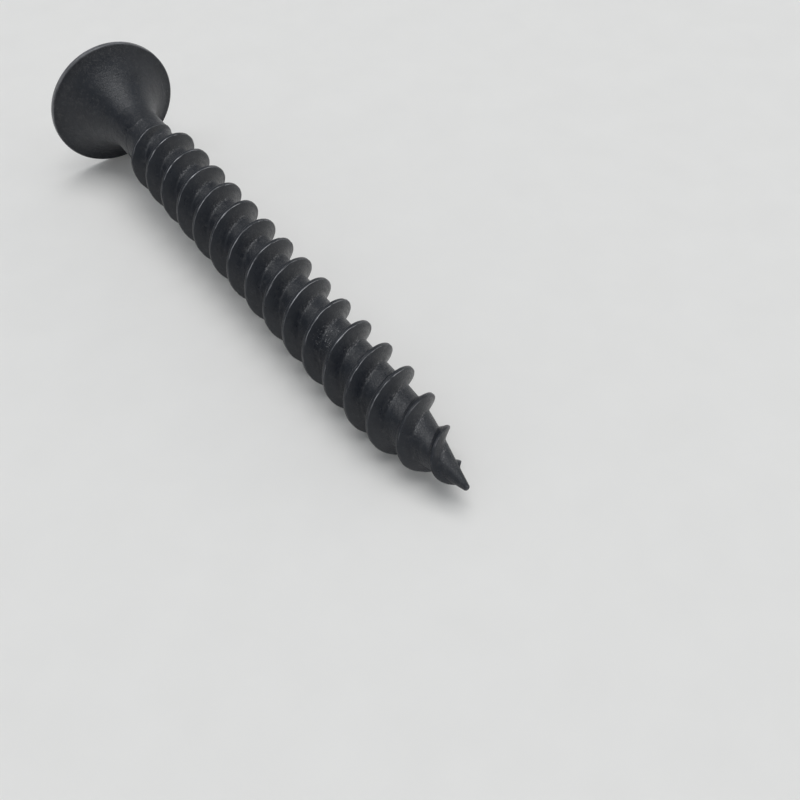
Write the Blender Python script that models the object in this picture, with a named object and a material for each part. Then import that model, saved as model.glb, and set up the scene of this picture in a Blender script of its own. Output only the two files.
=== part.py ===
"""A 4.2 x 38 mm twin-start wood screw: bugle head, cross recess, black phosphated steel.

One cold-headed, thread-rolled piece, so one solid. The screw lies along X with its point at
+X. The origin is on its axis at mid-length. Metres, +Z up.
"""

import math

import bmesh
import bpy
import numpy as np

MM = 0.001

# Driving dimensions.
LENGTH = 38.0 * MM
THREAD_DIAMETER = 4.18 * MM
CORE_DIAMETER = 2.72 * MM
SHANK_DIAMETER = 3.0 * MM
STARTS = 2
CREST_SPACING = 1.95 * MM  # the lead is STARTS times this
HEAD_DIAMETER = 8.2 * MM

# Thread form. Both flanks run down to the core at a constant slope, which these lengths give
# for a full crest. The crest's flat is narrower near the point.
CREST_FLAT = 0.195 * MM
POINT_FLAT = 0.66
POINT_SIDE_FLANK = 0.44 * MM
HEAD_SIDE_FLANK = 0.45 * MM
FIRST_CREST = 0.774  # how far behind the point a crest crosses the +Y side, in crest spacings
POINT_STRETCH = 0.066  # the first crests stand this much further apart in all, in crest spacings
STRETCH_LENGTH = 9.5 * MM

# Point: the core is a cone with a small blunt end, and each start's crest grows up along it.
POINT_SLOPE = 0.2593
POINT_END_RADIUS = 0.141 * MM
CREST_BEGINS = (1.05 * MM, 0.45 * MM)
CREST_FULL = (5.79 * MM, 5.67 * MM)
CREST_GROWTH = (0.421, 0.571)
CORE_BLEND = 0.158 * MM

# Run-out: the core swells to the shank, and the crest sinks a little sooner, short of the head.
THREAD_END = 33.0 * MM
RUN_OUT = 2.4 * MM
CREST_RUN_OUT = 0.9 * RUN_OUT

# Head.
HEAD_HEIGHT = 3.5 * MM
RIM_HEIGHT = 0.35 * MM
RIM_BEVEL = 0.10 * MM
BUGLE_ROUNDNESS = 0.65  # 0 is a straight cone, 1 a quarter ellipse
BUGLE_RINGS = 7

# Cross recess, size 2.
RECESS_SPAN = 4.7 * MM
RECESS_WING = 1.25 * MM
RECESS_FLOOR_SPAN = 2.5 * MM
RECESS_FLOOR_WING = 0.95 * MM
RECESS_WALL_DEPTH = 1.75 * MM
RECESS_DEPTH = 2.5 * MM
RECESS_CORNER = 0.30 * MM
CUTTER_PROUD = 0.3 * MM

# Facets: steps round the axis, steps down each flank, and rounds to settle the stretch.
STEPS_ROUND = 36
FLANK_STEPS = 2
STRETCH_ROUNDS = 8
WELD = 0.002 * MM
SHARP_ANGLE = 35.0


def smooth_step(t):
    """0 to 1 with level ends."""
    t = np.clip(t, 0.0, 1.0)
    return t * t * (3.0 - 2.0 * t)


def core_radius(behind_point):
    """The core under the thread: a cone at the point, blended into a cylinder, then the shank."""
    cone = POINT_END_RADIUS + POINT_SLOPE * behind_point
    straight = CORE_DIAMETER / 2
    blended = -CORE_BLEND * np.logaddexp(-straight / CORE_BLEND, -cone / CORE_BLEND)
    swell = smooth_step((behind_point - (THREAD_END - RUN_OUT)) / RUN_OUT)
    return blended + (SHANK_DIAMETER / 2 - blended) * swell


def start_of(ridge, pair):
    """This ridge's own value. Even and odd ridges belong to the two starts."""
    return np.where(np.mod(ridge, STARTS) > 0.5, pair[1], pair[0])


def crest_share(behind_point, ridge):
    """How far the crest has grown here, from 0 at its beginning to 1 where it is full."""
    begins = start_of(ridge, CREST_BEGINS)
    full = start_of(ridge, CREST_FULL)
    return np.clip((behind_point - begins) / (full - begins), 0.0, 1.0)


def crest_radius(behind_point, ridge):
    """The crest's radius: it grows from nothing near the point and sinks into the shank."""
    grown = crest_share(behind_point, ridge) ** start_of(ridge, CREST_GROWTH)
    left = 1.0 - smooth_step((behind_point - (THREAD_END - RUN_OUT)) / CREST_RUN_OUT)
    core = core_radius(behind_point)
    return core + (THREAD_DIAMETER / 2 * grown - core) * left


def thread_radius(behind_point, turn):
    """Radius of the thread. Each whole number of turn is a crest, counted back from the point."""
    ridge = np.round(turn)
    off_crest = (turn - ridge) * CREST_SPACING
    at_crest = behind_point - off_crest
    share = crest_share(at_crest, ridge)
    flat = CREST_FLAT * (POINT_FLAT + (1.0 - POINT_FLAT) * share)
    flank = np.where(off_crest < 0.0, POINT_SIDE_FLANK, HEAD_SIDE_FLANK)
    slope = (THREAD_DIAMETER - CORE_DIAMETER) / 2 / flank
    down = slope * np.maximum(np.abs(off_crest) - flat / 2, 0.0)
    return np.maximum(core_radius(behind_point), crest_radius(at_crest, ridge) - down)


def ridge_offsets():
    """Places across one ridge, in crest spacings from its crest: foot, flank, crest, flank, foot."""
    places = []
    for side, flank in ((-1, POINT_SIDE_FLANK), (1, HEAD_SIDE_FLANK)):
        for step in range(FLANK_STEPS + 1):
            places.append(side * (CREST_FLAT / 2 + flank * step / FLANK_STEPS) / CREST_SPACING)
    return sorted(places)


def behind_point_at(level):
    """Distance behind the point, for a place on the helix that is this many spacings along."""
    behind = level * CREST_SPACING
    for _ in range(STRETCH_ROUNDS):
        stretch = POINT_STRETCH * smooth_step(behind / STRETCH_LENGTH)
        behind = (level - stretch) * CREST_SPACING
    return behind


def axis_point(behind_point, radius, angle):
    """A point on the screw. The angle runs from +Y towards +Z."""
    x = LENGTH / 2 - behind_point
    return (x, radius * math.cos(angle), radius * math.sin(angle))


def add_thread(bm):
    """The threaded surface, as rows that follow the helix. Returns the end ring at the shank."""
    last_turn = math.ceil(THREAD_END / CREST_SPACING - FIRST_CREST) + STARTS + 1
    turns = [n + place for n in range(-1, last_turn) for place in ridge_offsets()]
    turns = np.array([-FIRST_CREST - 0.01] + [t for t in turns if t > -FIRST_CREST])
    columns = []
    for step in range(STEPS_ROUND + 1):
        share = step / STEPS_ROUND
        behind = behind_point_at(turns + FIRST_CREST - STARTS * share)
        behind = np.clip(behind, 0.0, THREAD_END)
        radii = thread_radius(behind, turns)
        radii[behind <= 0.0] = POINT_END_RADIUS
        radii[behind >= THREAD_END] = SHANK_DIAMETER / 2
        angle = 2.0 * math.pi * share
        columns.append([bm.verts.new(axis_point(b, r, angle)) for b, r in zip(behind, radii)])
    for here, after in zip(columns, columns[1:]):
        for row in range(len(turns) - 1):
            bm.faces.new((here[row], here[row + 1], after[row + 1], after[row]))


def head_profile():
    """(behind_point, radius) from the end of the thread, up the trumpet and over the rim."""
    under_rim = LENGTH - RIM_HEIGHT
    start = LENGTH - HEAD_HEIGHT
    rise = HEAD_DIAMETER / 2 - SHANK_DIAMETER / 2
    profile = [(start, SHANK_DIAMETER / 2)]
    for ring in range(1, BUGLE_RINGS + 1):
        sweep = math.pi / 2 * ring / BUGLE_RINGS
        straight = math.sin(sweep)
        round_out = 1.0 - math.cos(sweep)
        out = BUGLE_ROUNDNESS * round_out + (1.0 - BUGLE_ROUNDNESS) * straight
        along = start + (under_rim - start) * straight
        profile.append((along, SHANK_DIAMETER / 2 + rise * out))
    profile.append((LENGTH - RIM_BEVEL, HEAD_DIAMETER / 2))
    profile.append((LENGTH, HEAD_DIAMETER / 2 - RIM_BEVEL))
    return profile


def add_ring(bm, behind_point, radius):
    angles = [2.0 * math.pi * step / STEPS_ROUND for step in range(STEPS_ROUND)]
    return [bm.verts.new(axis_point(behind_point, radius, angle)) for angle in angles]


def add_head(bm):
    rings = [add_ring(bm, THREAD_END, SHANK_DIAMETER / 2)]
    rings += [add_ring(bm, behind, radius) for behind, radius in head_profile()]
    for below, above in zip(rings, rings[1:]):
        for step in range(STEPS_ROUND):
            after = (step + 1) % STEPS_ROUND
            bm.faces.new((below[step], above[step], above[after], below[after]))
    bm.faces.new(rings[-1])
    bm.faces.new(add_ring(bm, 0.0, POINT_END_RADIUS))


def cross_outline(span, wing, corner):
    """A four-winged cross in the YZ plane, with its inner corners filled a little."""
    tip = span / 2
    half = wing / 2
    first_wing = ((-half, half + corner), (-half, tip), (half, tip), (half, half + corner))
    points = []
    for quarter in range(4):
        turn = math.pi / 2 * quarter
        for along, out in first_wing:
            y = out * math.cos(turn) - along * math.sin(turn)
            z = out * math.sin(turn) + along * math.cos(turn)
            points.append((y, z))
    return points


def make_recess_cutter():
    """The tapering cross and its conical bottom, a little proud of the head's face."""
    slope = (RECESS_SPAN - RECESS_FLOOR_SPAN) / RECESS_WALL_DEPTH
    narrowing = (RECESS_WING - RECESS_FLOOR_WING) / RECESS_WALL_DEPTH
    face = -LENGTH / 2
    bm = bmesh.new()
    mouth_span = RECESS_SPAN + slope * CUTTER_PROUD
    mouth_wing = RECESS_WING + narrowing * CUTTER_PROUD
    mouth = (face - CUTTER_PROUD, mouth_span, mouth_wing)
    floor = (face + RECESS_WALL_DEPTH, RECESS_FLOOR_SPAN, RECESS_FLOOR_WING)
    loops = []
    for x, span, wing in (mouth, floor):
        outline = cross_outline(span, wing, RECESS_CORNER)
        loops.append([bm.verts.new((x, y, z)) for y, z in outline])
    count = len(loops[0])
    bottom = bm.verts.new((face + RECESS_DEPTH, 0.0, 0.0))
    for i in range(count):
        j = (i + 1) % count
        bm.faces.new((loops[0][i], loops[0][j], loops[1][j], loops[1][i]))
        bm.faces.new((loops[1][i], loops[1][j], bottom))
    bm.faces.new(loops[0])
    bmesh.ops.recalc_face_normals(bm, faces=bm.faces)
    cutter = object_from(bm, "recess_cutter")
    cutter.hide_render = True
    cutter.display_type = "WIRE"
    return cutter


def object_from(bm, name):
    mesh = bpy.data.meshes.new(name)
    bm.to_mesh(mesh)
    bm.free()
    made = bpy.data.objects.new(name, mesh)
    bpy.context.scene.collection.objects.link(made)
    return made


def black_phosphate():
    """Dark, slightly cool phosphate coat with a thin film of oil."""
    material = bpy.data.materials.new("black_phosphate")
    material.use_nodes = True
    shader = material.node_tree.nodes["Principled BSDF"]
    shader.inputs["Base Color"].default_value = (0.030, 0.032, 0.037, 1.0)
    shader.inputs["Roughness"].default_value = 0.42
    shader.inputs["Metallic"].default_value = 0.6
    return material


def make_screw():
    bm = bmesh.new()
    add_thread(bm)
    add_head(bm)
    bmesh.ops.remove_doubles(bm, verts=bm.verts, dist=WELD)
    bmesh.ops.recalc_face_normals(bm, faces=bm.faces)
    screw = object_from(bm, "screw")
    screw.data.materials.append(black_phosphate())
    recess = screw.modifiers.new("recess", "BOOLEAN")
    recess.operation = "DIFFERENCE"
    recess.solver = "EXACT"
    recess.object = make_recess_cutter()
    screw.data.shade_smooth()
    screw.data.set_sharp_from_angle(angle=math.radians(SHARP_ANGLE))


def main():
    for obj in list(bpy.data.objects):
        bpy.data.objects.remove(obj, do_unlink=True)
    make_screw()


main()
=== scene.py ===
"""A black phosphated wood screw lying on a pale floor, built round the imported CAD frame."""

import math

import bmesh
import bpy
import numpy as np
from mathutils import Matrix, Vector


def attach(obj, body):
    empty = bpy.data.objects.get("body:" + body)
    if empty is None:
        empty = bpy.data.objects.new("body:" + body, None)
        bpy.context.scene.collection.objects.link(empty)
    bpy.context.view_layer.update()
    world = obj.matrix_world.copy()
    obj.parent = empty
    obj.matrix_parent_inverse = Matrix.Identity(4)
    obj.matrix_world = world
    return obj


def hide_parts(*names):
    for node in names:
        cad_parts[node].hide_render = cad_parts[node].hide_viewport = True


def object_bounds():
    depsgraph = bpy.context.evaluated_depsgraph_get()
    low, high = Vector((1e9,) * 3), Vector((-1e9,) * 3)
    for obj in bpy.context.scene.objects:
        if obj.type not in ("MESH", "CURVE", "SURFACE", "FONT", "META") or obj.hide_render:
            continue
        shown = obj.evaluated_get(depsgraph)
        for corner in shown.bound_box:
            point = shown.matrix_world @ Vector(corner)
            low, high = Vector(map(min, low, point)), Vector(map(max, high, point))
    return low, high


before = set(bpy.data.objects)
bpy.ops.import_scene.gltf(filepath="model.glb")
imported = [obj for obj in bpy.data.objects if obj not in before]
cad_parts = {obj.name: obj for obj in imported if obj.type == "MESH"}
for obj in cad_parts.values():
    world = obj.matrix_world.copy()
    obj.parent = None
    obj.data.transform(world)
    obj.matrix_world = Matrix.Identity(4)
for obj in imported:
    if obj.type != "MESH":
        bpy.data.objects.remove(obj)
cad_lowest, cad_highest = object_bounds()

MM = 0.001

# The screw lies along X with its point at +X. Its length and head radius come from the CAD model.
POINT_X = cad_highest.x
LENGTH = cad_highest.x - cad_lowest.x
HEAD_RADIUS = (cad_highest.y - cad_lowest.y) / 2
THREAD_RADIUS = 2.092 * MM
CORE_RADIUS = 1.359 * MM
SHANK_RADIUS = 1.50 * MM
STARTS = 2
CREST_SPACING = 1.95 * MM
FIRST_CREST = 0.774  # how far behind the point a crest crosses the +Y side, in crest spacings

# Thread form: the crest's flat, both flanks' lengths for a full crest, and the corners' softness.
CREST_FLAT = 0.195 * MM
POINT_FLAT = 0.66  # the flat's share of that width where the crest begins
POINT_SIDE_FLANK = 0.44 * MM
HEAD_SIDE_FLANK = 0.42 * MM
POINT_SIDE_EDGE = 0.012 * MM
HEAD_SIDE_EDGE = 0.024 * MM
POINT_SOFTNESS = 1.5  # how much softer these edges are where the crest is still low
ROOT_FILLET = 0.031 * MM

# Point: a blunt cone. Each start's crest has its own beginning, full height and growth. The
# turn gains a little along the point, so the first crests stand slightly closer together, and the
# point leans off the axis.
POINT_SLOPE = 0.2593
POINT_END_RADIUS = 0.141 * MM
CORE_BLEND = 0.158 * MM
CREST_BEGINS = (1.052 * MM, 0.450 * MM)
CREST_FULL = (5.786 * MM, 5.672 * MM)
CREST_GROWTH = (0.421, 0.571)
POINT_STRETCH = 0.0661
STRETCH_LENGTH = 9.52 * MM
POINT_LEAN_Y = 0.067 * MM
POINT_LEAN_Z = -0.108 * MM
LEAN_LENGTH = 2.99 * MM
CAP = 0.115 * MM

# Run-out of the thread into the shank, and the head.
THREAD_END = 33.0 * MM
RUN_OUT = 2.4 * MM
HEAD_HEIGHT = 3.5 * MM
BUGLE_ROUNDNESS = 0.65  # 0 is a straight cone, 1 a quarter ellipse
RIM_HEIGHT = 0.35 * MM
FACE_EDGE_ROUND = 0.10 * MM
UNDER_EDGE_ROUND = 0.06 * MM

# Driver recess.
RECESS_SPAN = 4.7 * MM
RECESS_WING = 1.25 * MM
RECESS_FLOOR_SPAN = 2.5 * MM
RECESS_FLOOR_WING = 0.95 * MM
RECESS_WALL_DEPTH = 1.75 * MM
RECESS_DEPTH = 2.5 * MM
RECESS_CORNER = 0.22 * MM
RECESS_TIP_ROUND = 0.55  # of half the wing's width
RECESS_LIP = 0.06 * MM

# Small faults of a rolled and tumbled screw: depths, then widths across or lengths along.
CREST_WANDER = 0.010 * MM
CREST_SEAM = 0.012 * MM
ROLL_MARK = 0.0012 * MM
NICK_DEPTH = 0.045 * MM
NICKS = 60
WANDER_LENGTHS = (2.6 * MM, 0.5 * MM)
SEAM_WIDTH = 0.028 * MM
NICK_ACROSS = 0.14 * MM
NICK_SPAN = 110.0 * MM
ROLL_MARK_SPACING = 0.16 * MM
ROLL_MARK_WAVE = 0.02 * MM
ROLL_MARK_LENGTH = 4.0 * MM

# Where the coat is rubbed most, as a share of the way round, how worn each place is from 0 to 1,
# how far the less worn point reaches, and the place of a root with pale flecks, in mm.
RUBBED_SIDE = 0.28
CREST_WORN = 0.22
POINT_WORN = 0.35
POINT_WORN_END = 4.0 * MM
POINT_WORN_BLEND = 3.0 * MM
EDGE_WORN = 0.45
CAP_WORN = 0.06
FLECKED_PLACE = ((POINT_X - 10.9 * MM) / MM, -0.62, 1.21)

# Colours, linear, and the coat's relief.
DARK_COAT = (0.0048, 0.0070, 0.0122, 1)
PALER_COAT = (0.0080, 0.0106, 0.0165, 1)
DUST = (0.062, 0.061, 0.064, 1)
# painted highlight: pale dashes on the upper side of the root corners, where the overhead light glints
PAINTED_FILLET_HIGHLIGHT = (0.170, 0.170, 0.175, 1)
# painted highlight: pale crystal grain in the roots on the upper side only
PAINTED_ROOT_HIGHLIGHT = (0.085, 0.084, 0.087, 1)
FLECK = (0.33, 0.33, 0.34, 1)
BARE_STEEL = (0.40, 0.40, 0.42, 1)
SHEEN_TINT = (1.0, 0.95, 0.88, 1.0)
RELIEF_DEPTH = 0.030 * MM
FLOOR_COLOURS = ((0.83, 0.815, 0.795, 1), (0.87, 0.855, 0.835, 1))

# The floor: how far it is level, and its upturned edge.
FLOOR_LEVEL = 0.5
FLOOR_OUT = 1.2
FLOOR_RISE = 0.35

# Mesh fineness.
STEPS_ROUND = 120
STRETCH_ROUNDS = 12  # rounds to settle the stretch of the helix
CAP_STEPS = 6
BUGLE_STEPS = 26
RIM_STEPS = 4
LIP_STEPS = 3
CORNER_STEPS = 4
FLOOR_STEPS = 8
FLOOR_SWEEP_STEPS = 16
FLOOR_SPIN_STEPS = 96
WELD = 0.0001 * MM
SHARP_ANGLE = 40.0

# UVs run along and across the helix, in mm. Other surfaces' UVs are kept clear of the thread's.
OFF_THREAD = 60.0
END_UVS = ((0.0, OFF_THREAD), (0.1, OFF_THREAD), (0.0, OFF_THREAD + 0.1))

# Light: the panels' directions from the screw, and the sky's radiance low down and overhead.
OVERHEAD = (-0.06, 0.13, 0.98)
BESIDE = (0.45, 0.88, 0.16)
HORIZON = 0.17
ZENITH = 0.55
SKY_COLOUR = (0.90, 0.955, 1.0, 1.0)

# The view: the camera looks down on the point from its own end of the screw.
VIEW_AZIMUTH = math.radians(54.68)
VIEW_ELEVATION = math.radians(49.77)
LENS = 49.11
SENSOR = 36.0
POINT_AHEAD = 51.17 * MM
POINT_RIGHT = 3.141 * MM
POINT_DOWN = 4.154 * MM


def smooth_step(t):
    t = np.clip(t, 0.0, 1.0)
    return t * t * (3.0 - 2.0 * t)


def soft_above(t, rounding):
    """t where it is above nothing, with a rounded corner of this size."""
    return rounding * np.logaddexp(0.0, t / rounding)


def core_radius(behind):
    """The core: a blunt cone at the point, a cylinder, then a swell to the shank."""
    cone = POINT_SLOPE * behind + POINT_END_RADIUS
    blended = -CORE_BLEND * np.logaddexp(-CORE_RADIUS / CORE_BLEND, -cone / CORE_BLEND)
    swell = smooth_step((behind - (THREAD_END - RUN_OUT)) / RUN_OUT)
    return blended + (SHANK_RADIUS - blended) * swell


def start_of(ridge, pair):
    """This ridge's own value. Even and odd ridges belong to the two starts."""
    return np.where(np.mod(ridge, STARTS) > 0.5, pair[1], pair[0])


def crest_share(behind, ridge):
    """How far the crest has grown here, from 0 at its beginning to 1 where it is full."""
    begins = start_of(ridge, CREST_BEGINS)
    return np.clip((behind - begins) / (start_of(ridge, CREST_FULL) - begins), 0.0, 1.0)


def crest_radius(behind, ridge):
    """Crest radius of the ridge that passes here. It sinks into the shank at the run-out."""
    grown = crest_share(behind, ridge) ** start_of(ridge, CREST_GROWTH)
    left = 1.0 - smooth_step((behind - (THREAD_END - RUN_OUT)) / (0.9 * RUN_OUT))
    core = core_radius(behind)
    return core + (THREAD_RADIUS * grown - core) * left


def crest_flat(behind, ridge):
    """Width of the crest's flat, narrower near the point."""
    return CREST_FLAT * (POINT_FLAT + (1.0 - POINT_FLAT) * crest_share(behind, ridge))


def thread_radius(behind, turn):
    """Radius of the thread. Each whole number of turn is a crest, counted back from the point."""
    ridge = np.round(turn)
    off_crest = (turn - ridge) * CREST_SPACING
    core = core_radius(behind)
    crest = crest_radius(behind - off_crest, ridge)
    flat = crest_flat(behind - off_crest, ridge)
    flank = np.where(off_crest < 0.0, POINT_SIDE_FLANK, HEAD_SIDE_FLANK)
    edge = np.where(off_crest < 0.0, POINT_SIDE_EDGE, HEAD_SIDE_EDGE)
    edge = edge * (1.0 + POINT_SOFTNESS * (1.0 - crest_share(behind - off_crest, ridge)))
    slope = (THREAD_RADIUS - CORE_RADIUS) / flank
    side = crest - slope * soft_above(np.abs(off_crest) - flat / 2, edge)
    return core + soft_above(side - core, ROOT_FILLET)


# --- objects ---

def waves(along, length, seed):
    """Smooth noise, about -1 to 1, whose bumps are about this long."""
    rng = np.random.default_rng(seed)
    total = np.zeros_like(along)
    for _ in range(6):
        step = length * rng.uniform(0.6, 1.7)
        total += np.sin(2.0 * np.pi * along / step + rng.uniform(0.0, 2.0 * np.pi))
    return total / 3.0


def nicks(along, count, length, seed):
    """Small dents at scattered places along a crest, each 0 to 1 deep."""
    rng = np.random.default_rng(seed)
    total = np.zeros_like(along)
    for _ in range(count):
        place = rng.uniform(-length, length)
        width = rng.uniform(0.06, 0.16) * MM
        total += rng.uniform(0.3, 1.0) * np.exp(-(((along - place) / width) ** 2))
    return total


def ridge_rows():
    """Mesh rows over one ridge, as distances from its crest. They crowd at its edges and feet."""
    rows = set()
    for side, flank in ((-1, POINT_SIDE_FLANK), (1, HEAD_SIDE_FLANK)):
        foot = CREST_FLAT / 2 + flank
        stops = (
            (0.0, 2), (0.3 * CREST_FLAT, 3), (0.9 * CREST_FLAT, 5),
            (foot - 2.5 * ROOT_FILLET, 5), (foot + 2.5 * ROOT_FILLET, 2), (CREST_SPACING / 2, 0),
        )
        for (here, steps), (there, _) in zip(stops, stops[1:]):
            rows |= {round(side * (here + (there - here) * i / steps), 9) for i in range(steps)}
    return np.array(sorted(rows))


def surface_points(behind, radius, angle):
    """Points on the screw. The angle runs from +Y towards +Z, and the point leans a little."""
    lean = np.clip(1.0 - behind / LEAN_LENGTH, 0.0, 1.0) ** 2
    y = radius * np.cos(angle) + POINT_LEAN_Y * lean
    z = radius * np.sin(angle) + POINT_LEAN_Z * lean
    return np.stack([POINT_X - behind, y, z], axis=-1)


def worn_radius(behind, turn, share_round):
    """The thread as rolled: crests that wander, with a faint seam and nicks, and fine marks in roots."""
    radius = thread_radius(behind, turn)
    ridge = np.round(turn)
    off_crest = (turn - ridge) * CREST_SPACING
    along = (share_round * STARTS - ridge) * math.pi * THREAD_RADIUS
    core = core_radius(behind)
    height = np.clip((radius - core) / (THREAD_RADIUS - CORE_RADIUS), 0.0, 1.0)
    long, short = (waves(along, length, 3 + i) for i, length in enumerate(WANDER_LENGTHS))
    wander = CREST_WANDER * (0.7 * long + 0.3 * short)
    dents = NICK_DEPTH * nicks(along, NICKS, NICK_SPAN, 5) * np.exp(-((off_crest / NICK_ACROSS) ** 2))
    seam = CREST_SEAM * np.exp(-((off_crest / SEAM_WIDTH) ** 2))
    marked = off_crest + ROLL_MARK_WAVE * waves(along, ROLL_MARK_LENGTH, 6)
    roll_marks = ROLL_MARK * waves(marked, ROLL_MARK_SPACING, 7)
    grown = smooth_step(height * 2.0 - 0.6)
    return radius + grown * (wander - dents - seam) + roll_marks * (1.0 - height)


def thread_grid():
    """Rows that follow the helix from the point's cap to the shank, and the place of each vertex."""
    rows = ridge_rows() / CREST_SPACING
    last = math.ceil(THREAD_END / CREST_SPACING) + STARTS + 1
    turns = np.concatenate([ridge + rows for ridge in range(-1, last)])
    shares = np.arange(STEPS_ROUND + 1) / STEPS_ROUND
    turn, share = np.meshgrid(turns, shares, indexing="ij")
    level = turn + FIRST_CREST - STARTS * share
    behind = level * CREST_SPACING
    for _ in range(STRETCH_ROUNDS):
        behind = (level - POINT_STRETCH * smooth_step(behind / STRETCH_LENGTH)) * CREST_SPACING
    inside = (behind > CAP) & (behind < THREAD_END)
    behind = np.clip(behind, CAP, THREAD_END)
    end_radius = np.where(behind <= CAP, core_radius(CAP), SHANK_RADIUS)
    radius = np.where(inside, worn_radius(behind, turn, share), end_radius)
    return turn, share, behind, radius


def cap_rings():
    """(behind, radius) of the rounded end of the point."""
    angles = [math.pi / 2 * step / CAP_STEPS for step in range(1, CAP_STEPS + 1)]
    return [(CAP * (1.0 - math.cos(a)), float(core_radius(CAP)) * math.sin(a)) for a in angles]


def bugle_rings():
    """(behind, radius) up the shank, round the trumpet and over the rim to the head's face."""
    under_rim = LENGTH - RIM_HEIGHT
    start = LENGTH - HEAD_HEIGHT
    rise = HEAD_RADIUS - SHANK_RADIUS
    rings = [(along, SHANK_RADIUS) for along in (THREAD_END, (THREAD_END + start) / 2, start)]
    for step in range(1, BUGLE_STEPS):
        sweep = math.pi / 2 * step / BUGLE_STEPS
        flare = math.sin(sweep)
        out = BUGLE_ROUNDNESS * (1.0 - math.cos(sweep)) + (1.0 - BUGLE_ROUNDNESS) * flare
        rings.append((start + (under_rim - start) * flare, SHANK_RADIUS + rise * out))
    edges = (
        (under_rim + UNDER_EDGE_ROUND, UNDER_EDGE_ROUND, -75.0, 75.0),
        (LENGTH - FACE_EDGE_ROUND, FACE_EDGE_ROUND, 0.0, 90.0),
    )
    for centre, round_off, first, turn in edges:
        for step in range(RIM_STEPS + 1):
            angle = math.radians(first + turn * step / RIM_STEPS)
            out = HEAD_RADIUS - round_off + round_off * math.cos(angle)
            rings.append((centre + round_off * math.sin(angle), out))
    return rings


def rounded(corners, cut, steps):
    """A closed outline with each corner replaced by a curve that starts this far from it."""
    points = []
    for i, corner in enumerate(corners):
        before = (corners[i - 1] - corner).normalized() * cut[i % len(cut)]
        after = (corners[(i + 1) % len(corners)] - corner).normalized() * cut[i % len(cut)]
        for step in range(steps + 1):
            t = step / steps
            points.append(corner + before * (1 - t) ** 2 + after * t**2)
    return points


def cross_outline(span, wing):
    """The driver's cross in the head's plane, with round wing tips and filled inner corners."""
    tip, half = span / 2, wing / 2
    tip_cut = RECESS_TIP_ROUND * half
    corners = []
    for quarter in range(4):
        turn = Matrix.Rotation(math.pi / 2 * quarter, 2)
        corners += [turn @ Vector(c) for c in ((tip, -half), (tip, half), (half, half))]
    return rounded(corners, (tip_cut, tip_cut, RECESS_CORNER), CORNER_STEPS)


def recess_levels():
    """(depth, span, wing) down the driver recess: a worn lip, tapering walls and a soft floor."""
    taper = (RECESS_SPAN - RECESS_FLOOR_SPAN) / RECESS_WALL_DEPTH
    narrowing = (RECESS_WING - RECESS_FLOOR_WING) / RECESS_WALL_DEPTH
    levels = []
    for step in range(LIP_STEPS + 1):
        angle = math.pi / 2 * step / LIP_STEPS
        wider = 2.0 * RECESS_LIP * (1.0 - math.sin(angle))
        depth = RECESS_LIP * (1.0 - math.cos(angle))
        levels.append((depth, RECESS_SPAN + wider, RECESS_WING + wider))
    for depth in (0.4 * MM, 0.8 * MM, 1.3 * MM, RECESS_WALL_DEPTH - 0.1 * MM):
        levels.append((depth, RECESS_SPAN - taper * depth, RECESS_WING - narrowing * depth))
    for inset, down in ((0.12, 0.0), (0.45, 0.12)):
        levels.append((
            RECESS_WALL_DEPTH + down * MM,
            RECESS_FLOOR_SPAN - inset * MM,
            RECESS_FLOOR_WING - 0.5 * inset * MM,
        ))
    return levels


def mesh_object(name, shell, material):
    """A joined, closed mesh with one UV per face corner, in millimetres along and across."""
    mesh = bpy.data.meshes.new(name)
    mesh.from_pydata(shell.vertices, [], shell.faces)
    layer = mesh.uv_layers.new(name="along_across")
    layer.data.foreach_set("uv", np.asarray(shell.uvs, dtype=np.float32).ravel())
    for quality, values in (("worn", shell.worn), ("rise", shell.rise)):
        mesh.attributes.new(quality, "FLOAT", "POINT").data.foreach_set("value", values)
    bm = bmesh.new()
    bm.from_mesh(mesh)
    bmesh.ops.remove_doubles(bm, verts=bm.verts, dist=WELD)
    bmesh.ops.dissolve_degenerate(bm, edges=bm.edges, dist=0.1 * WELD)
    bmesh.ops.recalc_face_normals(bm, faces=bm.faces)
    bm.to_mesh(mesh)
    bm.free()
    mesh.materials.append(material)
    made = bpy.data.objects.new(name, mesh)
    bpy.context.scene.collection.objects.link(made)
    return made


class Shell:
    """Vertices, faces and corner UVs gathered before they become one mesh."""

    def __init__(self):
        self.vertices, self.faces, self.uvs = [], [], []
        self.worn, self.rise = [], []

    def add_points(self, points, worn=0.0, rise=0.0):
        """Adds points, with how worn each is and how far up the thread's side, both 0 to 1."""
        first = len(self.vertices)
        points = np.asarray(points, dtype=float).reshape(-1, 3)
        self.vertices.extend(map(tuple, points.tolist()))
        self.worn.extend(np.broadcast_to(worn, len(points)).tolist())
        self.rise.extend(np.broadcast_to(rise, len(points)).tolist())
        return first

    def add_face(self, corners, uvs):
        self.faces.append(corners)
        self.uvs.extend(uvs)


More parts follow.
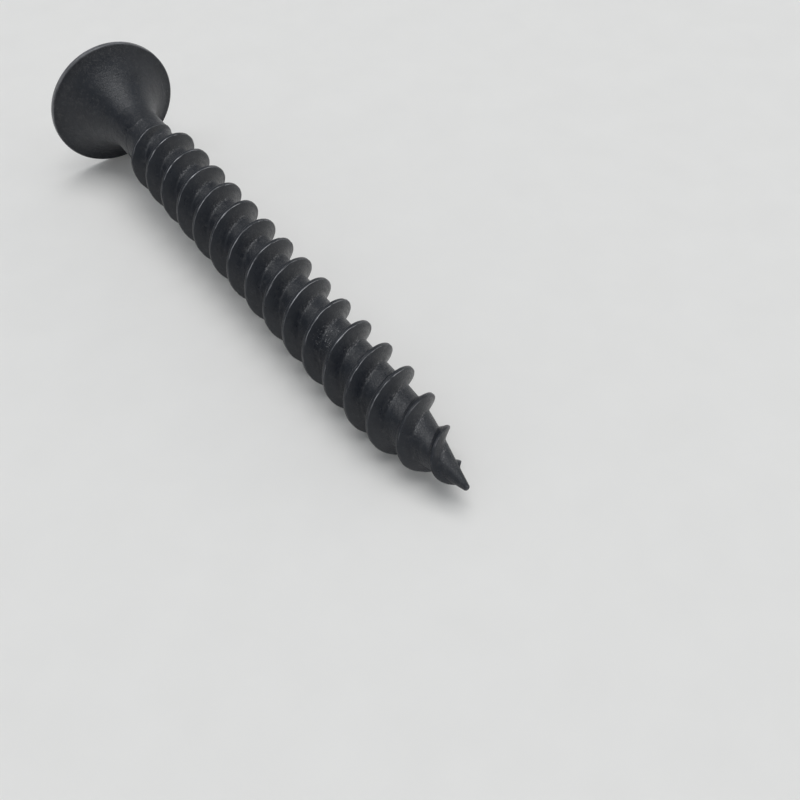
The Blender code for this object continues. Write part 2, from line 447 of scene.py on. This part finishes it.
def add_thread(shell):
    turn, share, behind, radius = thread_grid()
    rows, columns = turn.shape
    off_crest = (turn - np.round(turn)) * CREST_SPACING
    rise = np.clip((radius - core_radius(behind)) / (THREAD_RADIUS - CORE_RADIUS), 0.0, 1.0)
    rubbed = smooth_step((np.cos(2.0 * math.pi * (share - RUBBED_SIDE)) - 0.55) / 0.4)
    past_point = smooth_step((behind - POINT_WORN_END) / POINT_WORN_BLEND)
    worn = CREST_WORN + (1.0 - CREST_WORN) * rubbed
    worn = worn * smooth_step(2.0 * rise - 0.3) * (POINT_WORN + (1.0 - POINT_WORN) * past_point)
    points = surface_points(behind, radius, 2.0 * math.pi * share)
    first = shell.add_points(points, worn.ravel(), rise.ravel())
    for row in range(rows - 1):
        ridge = round(float(turn[row, 0] + turn[row + 1, 0]) / 2)
        low = (turn[row, 0] - ridge) * CREST_SPACING / MM
        high = (turn[row + 1, 0] - ridge) * CREST_SPACING / MM
        for column in range(columns - 1):
            here = first + row * columns + column
            left = (share[row, column] * STARTS - ridge) * math.pi * THREAD_RADIUS / MM
            right = (share[row, column + 1] * STARTS - ridge) * math.pi * THREAD_RADIUS / MM
            shell.add_face(
                (here, here + columns, here + columns + 1, here + 1),
                ((left, low), (left, high), (right, high), (right, low)),
            )


def ring_points(behind, radius):
    angles = 2.0 * math.pi * np.arange(STEPS_ROUND) / STEPS_ROUND
    return surface_points(np.full_like(angles, behind), np.full_like(angles, radius), angles)


def add_rings(shell, rings, worn=0.0):
    """Turned surface through these (behind, radius) rings. Returns the last ring's vertices."""
    last = None
    for behind, radius in rings:
        on_rim = smooth_step((radius - HEAD_RADIUS + 0.08 * MM) / (0.07 * MM))
        first = shell.add_points(ring_points(behind, radius), max(worn, EDGE_WORN * on_rim))
        ring = [first + i for i in range(STEPS_ROUND)]
        if last:
            for i in range(STEPS_ROUND):
                j = (i + 1) % STEPS_ROUND
                around = 2.0 * math.pi * i / STEPS_ROUND * radius / MM
                step = 2.0 * math.pi / STEPS_ROUND * radius / MM
                down, up = OFF_THREAD + last_behind / MM, OFF_THREAD + behind / MM
                shell.add_face(
                    (last[i], ring[i], ring[j], last[j]),
                    ((around, down), (around, up), (around + step, up), (around + step, down)),
                )
        last, last_behind = ring, behind
    return last


def add_cap(shell):
    rings = cap_rings()
    ring = add_rings(shell, rings[::-1], CAP_WORN)
    end = shell.add_points([(POINT_X, POINT_LEAN_Y, POINT_LEAN_Z)], CAP_WORN)
    for i in range(STEPS_ROUND):
        shell.add_face((ring[i], end, ring[(i + 1) % STEPS_ROUND]), END_UVS)


def add_recess(shell, rim):
    """The head's face with the cross recess in it, filled between the rim and the cross."""
    face_x = POINT_X - LENGTH
    loops = []
    for depth, span, wing in recess_levels():
        outline = cross_outline(span, wing)
        points = [(face_x + depth, p.x, p.y) for p in outline]
        first = shell.add_points(points, EDGE_WORN if 0.0 < depth < RECESS_LIP else 0.0)
        loops.append([first + i for i in range(len(points))])
    flat = bmesh.new()
    made = {}
    for loop in (rim, loops[0]):
        for i in loop:
            made[i] = flat.verts.new(shell.vertices[i])
        for i, j in zip(loop, loop[1:] + loop[:1]):
            flat.edges.new((made[i], made[j]))
    bmesh.ops.triangle_fill(flat, edges=flat.edges, use_beauty=True, use_dissolve=False)
    back = {vertex: i for i, vertex in made.items()}
    for face in flat.faces:
        corners = [back[v] for v in face.verts]
        shell.add_face(corners, [(v.co.y / MM, OFF_THREAD + v.co.z / MM) for v in face.verts])
    flat.free()
    count = len(loops[0])
    for upper, lower in zip(loops, loops[1:]):
        for i in range(count):
            j = (i + 1) % count
            corners = (upper[i], upper[j], lower[j], lower[i])
            depths = [OFF_THREAD + shell.vertices[v][0] / MM for v in corners]
            here, after = 0.1 * i, 0.1 * i + 0.1
            shell.add_face(corners, list(zip((here, after, after, here), depths)))
    bottom = shell.add_points([(face_x + RECESS_DEPTH, 0.0, 0.0)])
    for i in range(count):
        shell.add_face((loops[-1][i], loops[-1][(i + 1) % count], bottom), END_UVS)


def make_screw():
    shell = Shell()
    add_thread(shell)
    add_cap(shell)
    rim = add_rings(shell, bugle_rings())
    add_recess(shell, rim)
    screw = mesh_object("screw_steel", shell, black_phosphate())
    screw.data.shade_smooth()
    screw.data.set_sharp_from_angle(angle=math.radians(SHARP_ANGLE))
    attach(screw, "root")
    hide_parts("screw")
    return screw


# --- materials ---

class Nodes:
    """A short way to add shader nodes and join them."""

    def __init__(self, name):
        self.material = bpy.data.materials.new(name)
        self.material.use_nodes = True
        self.tree = self.material.node_tree
        self.shader = self.tree.nodes["Principled BSDF"]

    def add(self, kind, inputs=None, **settings):
        node = self.tree.nodes.new(kind)
        for key, value in settings.items():
            setattr(node, key, value)
        for key, value in (inputs or {}).items():
            self.feed(node.inputs[key], value)
        return node

    def feed(self, socket, value):
        if isinstance(value, bpy.types.NodeSocket):
            self.tree.links.new(value, socket)
        else:
            socket.default_value = value

    def math(self, operation, *values):
        node = self.add("ShaderNodeMath", operation=operation)
        for socket, value in zip(node.inputs, values):
            self.feed(socket, value)
        return node.outputs[0]

    def ramp(self, value, low, high, out_low=0.0, out_high=1.0):
        node = self.add("ShaderNodeMapRange", interpolation_type="SMOOTHSTEP", inputs={
            "Value": value, "From Min": low, "From Max": high,
            "To Min": out_low, "To Max": out_high,
        })
        return node.outputs[0]

    def mix(self, share, first, second):
        node = self.add("ShaderNodeMix", data_type="RGBA")
        self.feed(node.inputs[0], share)
        self.feed(node.inputs[6], first)
        self.feed(node.inputs[7], second)
        return node.outputs[2]

    def noise(self, vector, scale, detail=2.0, roughness=0.5):
        node = self.add("ShaderNodeTexNoise", inputs={
            "Vector": vector, "Scale": scale, "Detail": detail, "Roughness": roughness,
        })
        return node.outputs["Fac"]

    def scaled(self, vector, scale):
        node = self.add("ShaderNodeMapping", inputs={"Vector": vector, "Scale": scale})
        return node.outputs[0]


def surface_fields(n):
    """The places and masks that the coat is made from, by name."""
    place = n.add("ShaderNodeTexCoord").outputs["Object"]
    in_mm = n.scaled(place, (1 / MM, 1 / MM, 1 / MM))
    helix = n.add("ShaderNodeUVMap", uv_map="along_across").outputs[0]
    rise = n.add("ShaderNodeAttribute", attribute_name="rise").outputs["Fac"]
    around = n.scaled(in_mm, (0, 1, 1))
    outward = n.add("ShaderNodeVectorMath", operation="NORMALIZE", inputs={0: around})
    up = n.add("ShaderNodeSeparateXYZ", inputs={"Vector": outward.outputs["Vector"]}).outputs["Z"]
    return {
        "in_mm": in_mm,
        "across": n.add("ShaderNodeSeparateXYZ", inputs={"Vector": helix}).outputs["Y"],
        "worn": n.add("ShaderNodeAttribute", attribute_name="worn").outputs["Fac"],
        "in_root": n.math("SUBTRACT", 1.0, rise),
        "on_top": n.ramp(up, 0.80, 0.96),
        "streaks": n.noise(n.scaled(helix, (0.7, 9.0, 1.0)), 1.0, 3.0, 0.65),
        "scratches": n.noise(n.scaled(helix, (1.6, 26.0, 1.0)), 1.0, 2.0, 0.6),
        "dashes": n.noise(n.scaled(helix, (4.5, 15.0, 1.0)), 1.0, 2.0, 0.7),
        "grain": n.noise(in_mm, 9.0, 4.0, 0.7),
        "crystals": n.noise(in_mm, 13.0, 2.0, 0.8),
        "patches": n.noise(in_mm, 0.9, 3.0, 0.55),
        "smears": n.noise(in_mm, 3.2, 4.0, 0.65),
        "specks": n.noise(in_mm, 15.0, 2.0, 0.7),
    }


def dust_share(n, field):
    """Dull dust in the roots."""
    smeared = n.ramp(field["smears"], 0.50, 0.72)
    return n.math("MULTIPLY", smeared, n.math("MULTIPLY", field["in_root"], 0.40))


def painted_fillet_highlight_share(n, field):
    """Painted highlight: short pale dashes on the point-side root corner, on the side that lies
    uppermost, where the concave corner faces the overhead light.
    """
    corner = (CREST_FLAT / 2 + POINT_SIDE_FLANK) / MM + 0.03
    off_corner = n.math("ABSOLUTE", n.math("ADD", field["across"], corner))
    at_corner = n.ramp(off_corner, 0.03, 0.16, 1.0, 0.0)
    dashed = n.math("MULTIPLY", at_corner, n.ramp(field["dashes"], 0.50, 0.62))
    smeared = n.ramp(field["smears"], 0.38, 0.58, 0.25, 1.0)
    return n.math("MULTIPLY", dashed, n.math("MULTIPLY", field["on_top"], smeared))


def painted_root_highlight_share(n, field):
    """Painted highlight: fine pale crystal grain in the roots, only on the side that lies uppermost,
    under the overhead light.
    """
    rooted = n.math("MULTIPLY", field["in_root"], field["on_top"])
    frosted = n.math("MULTIPLY", n.ramp(field["crystals"], 0.50, 0.68), rooted)
    return n.math("MULTIPLY", frosted, 0.55)


def fleck_share(n, field):
    """A cluster of pale flecks in one root, and very few elsewhere."""
    ends = {0: field["in_mm"], 1: FLECKED_PLACE}
    away = n.add("ShaderNodeVectorMath", operation="DISTANCE", inputs=ends)
    flecked = n.ramp(away.outputs["Value"], 0.35, 1.15, 1.0, 0.07)
    smeared = n.ramp(field["smears"], 0.42, 0.58)
    flecks = n.math("MULTIPLY", n.ramp(field["specks"], 0.58, 0.66), smeared)
    return n.math("MULTIPLY", n.math("MULTIPLY", flecks, flecked), field["in_root"])


def bare_share(n, field):
    """Bare steel along the crest's point-side edge, and on the worn edges off the thread."""
    off_edge = n.math("ABSOLUTE", n.math("ADD", field["across"], CREST_FLAT / 2 / MM))
    off_edge = n.math("ADD", off_edge, n.ramp(field["scratches"], 0.3, 0.7, -0.012, 0.02))
    line = n.ramp(off_edge, 0.005, 0.024, 1.0, 0.0)
    line = n.math("MAXIMUM", line, n.math("GREATER_THAN", field["across"], OFF_THREAD / 2))
    broken = n.ramp(field["streaks"], 0.36, 0.60, 0.15, 1.0)
    return n.math("MULTIPLY", n.math("MULTIPLY", field["worn"], line), broken)


def coat_relief(n, field):
    """Fine height of the coat: grain and streaks all over, dashes and crystals in the roots."""
    streaky = n.math("MULTIPLY", field["streaks"], 0.45)
    relief = n.math("ADD", n.math("MULTIPLY", field["grain"], 0.60), streaky)
    for name, height in (("dashes", 0.90), ("crystals", 0.60)):
        rooted = n.math("MULTIPLY", field[name], n.math("MULTIPLY", field["in_root"], height))
        relief = n.math("ADD", relief, rooted)
    return relief


def black_phosphate():
    """A dark cool coat, streaked along the helix, mottled, with a painted highlight of pale grain and
    dashes in the roots on the upper side, worn on edges.
    """
    n = Nodes("black_phosphate")
    field = surface_fields(n)
    dusty = dust_share(n, field)
    bare = bare_share(n, field)
    coat = n.mix(n.ramp(field["patches"], 0.35, 0.65), DARK_COAT, PALER_COAT)
    coat = n.mix(dusty, coat, DUST)
    # painted highlight on the root corners of the upper side
    coat = n.mix(painted_fillet_highlight_share(n, field), coat, PAINTED_FILLET_HIGHLIGHT)
    # painted highlight in the roots of the upper side
    coat = n.mix(painted_root_highlight_share(n, field), coat, PAINTED_ROOT_HIGHLIGHT)
    coat = n.mix(fleck_share(n, field), coat, FLECK)
    n.feed(n.shader.inputs["Base Color"], n.mix(bare, coat, BARE_STEEL))
    n.feed(n.shader.inputs["Metallic"], n.math("MULTIPLY", bare, 0.85))

    streaky = n.ramp(field["streaks"], 0.3, 0.7, -0.08, 0.08)
    rough = n.math("ADD", streaky, n.ramp(field["grain"], 0.3, 0.7, 0.31, 0.45))
    rough = n.math("ADD", rough, n.math("MULTIPLY", dusty, 0.5))
    n.feed(n.shader.inputs["Roughness"], rough)
    n.shader.inputs["Specular IOR Level"].default_value = 0.5
    n.shader.inputs["Sheen Weight"].default_value = 0.035
    n.shader.inputs["Sheen Roughness"].default_value = 0.35
    n.shader.inputs["Sheen Tint"].default_value = SHEEN_TINT

    bump = n.add("ShaderNodeBump", inputs={
        "Height": coat_relief(n, field), "Strength": 0.8, "Distance": RELIEF_DEPTH,
    })
    n.feed(n.shader.inputs["Normal"], bump.outputs[0])
    return n.material


def pale_paper():
    n = Nodes("pale_floor")
    place = n.add("ShaderNodeTexCoord").outputs["Object"]
    mottle = n.noise(place, 300.0, 3.0, 0.5)
    n.feed(n.shader.inputs["Base Color"], n.mix(mottle, *FLOOR_COLOURS))
    n.shader.inputs["Roughness"].default_value = 0.9
    n.shader.inputs["Specular IOR Level"].default_value = 0.1
    return n.material


# --- stage, light and camera ---

def floor_profile():
    """(out, up) of the floor: level round the screw, then a sweep up into a low backdrop."""
    profile = [(FLOOR_LEVEL * step / FLOOR_STEPS, 0.0) for step in range(FLOOR_STEPS + 1)]
    for step in range(1, FLOOR_SWEEP_STEPS + 1):
        sweep = math.pi / 2 * step / FLOOR_SWEEP_STEPS
        out = FLOOR_LEVEL + (FLOOR_OUT - FLOOR_LEVEL) * math.sin(sweep)
        profile.append((out, FLOOR_RISE * (1.0 - math.cos(sweep))))
    return profile


def make_floor():
    """A pale floor, set by the head's rim and by the place where a crest first stands full."""
    rest_behind = CREST_FULL[0]
    run = LENGTH - RIM_HEIGHT - rest_behind
    tilt = math.atan2(HEAD_RADIUS - THREAD_RADIUS, run)
    bm = bmesh.new()
    edges = []
    profile = [bm.verts.new((out, 0.0, up)) for out, up in floor_profile()]
    for near, far in zip(profile, profile[1:]):
        edges.append(bm.edges.new((near, far)))
    bmesh.ops.spin(
        bm, geom=profile + edges, axis=(0, 0, 1), cent=(0, 0, 0), steps=FLOOR_SPIN_STEPS,
        angle=2.0 * math.pi, use_merge=True,
    )
    bmesh.ops.remove_doubles(bm, verts=bm.verts, dist=0.01 * MM)
    bmesh.ops.recalc_face_normals(bm, faces=bm.faces)
    mesh = bpy.data.meshes.new("floor")
    bm.to_mesh(mesh)
    bm.free()
    mesh.shade_smooth()
    mesh.materials.append(pale_paper())
    floor = bpy.data.objects.new("floor", mesh)
    bpy.context.scene.collection.objects.link(floor)
    touch = Vector((POINT_X - rest_behind, 0.0, -THREAD_RADIUS))
    floor.matrix_world = Matrix.Translation(touch) @ Matrix.Rotation(-tilt, 4, "Y")
    return floor


def view_axes():
    """Right, down and forward of the camera."""
    right = Vector((math.cos(VIEW_AZIMUTH), math.sin(VIEW_AZIMUTH), 0.0))
    level = Vector((-math.sin(VIEW_AZIMUTH), math.cos(VIEW_AZIMUTH), 0.0))
    forward = level * math.cos(VIEW_ELEVATION) - Vector((0, 0, 1)) * math.sin(VIEW_ELEVATION)
    return right, forward.cross(right), forward


def make_camera():
    right, down, forward = view_axes()
    data = bpy.data.cameras.new("camera")
    data.lens, data.sensor_width = LENS, SENSOR
    data.clip_start, data.clip_end = 1.0 * MM, 10.0
    camera = bpy.data.objects.new("camera", data)
    bpy.context.scene.collection.objects.link(camera)
    point = Vector((POINT_X, 0.0, 0.0))
    place = point - forward * POINT_AHEAD - right * POINT_RIGHT - down * POINT_DOWN
    turn = Matrix((right, -down, -forward)).transposed()
    camera.matrix_world = Matrix.Translation(place) @ turn.to_4x4()
    bpy.context.scene.camera = camera


def make_panel(name, towards, distance, size, radiance, colour=(1.0, 1.0, 1.0)):
    """A square soft light in this direction from the screw, facing it."""
    data = bpy.data.lights.new(name, "AREA")
    data.shape, data.size = "SQUARE", size
    data.energy = radiance * math.pi * size * size
    data.color = colour
    light = bpy.data.objects.new(name, data)
    bpy.context.scene.collection.objects.link(light)
    direction = Vector(towards).normalized()
    facing = direction.to_track_quat("Z", "Y").to_matrix().to_4x4()
    light.matrix_world = Matrix.Translation(direction * distance) @ facing
    return light


def make_light():
    make_panel("overhead_panel", OVERHEAD, 3.0, 2.4, 2.5)
    make_panel("side_panel", BESIDE, 3.0, 1.8, 1.8, (1.0, 0.96, 0.91))
    world = bpy.data.worlds.new("studio")
    world.use_nodes = True
    tree = world.node_tree
    towards = tree.nodes.new("ShaderNodeTexCoord").outputs["Generated"]
    height = tree.nodes.new("ShaderNodeSeparateXYZ")
    tree.links.new(towards, height.inputs[0])
    sky = tree.nodes.new("ShaderNodeMapRange")
    for name, value in zip(("From Min", "From Max", "To Min", "To Max"), (0.0, 1.0, HORIZON, ZENITH)):
        sky.inputs[name].default_value = value
    tree.links.new(height.outputs["Z"], sky.inputs["Value"])
    background = tree.nodes["Background"]
    background.inputs["Color"].default_value = SKY_COLOUR
    tree.links.new(sky.outputs[0], background.inputs["Strength"])
    bpy.context.scene.world = world
    bpy.context.scene.view_settings.view_transform = "Standard"


make_camera()
make_screw()
make_floor()
make_light()
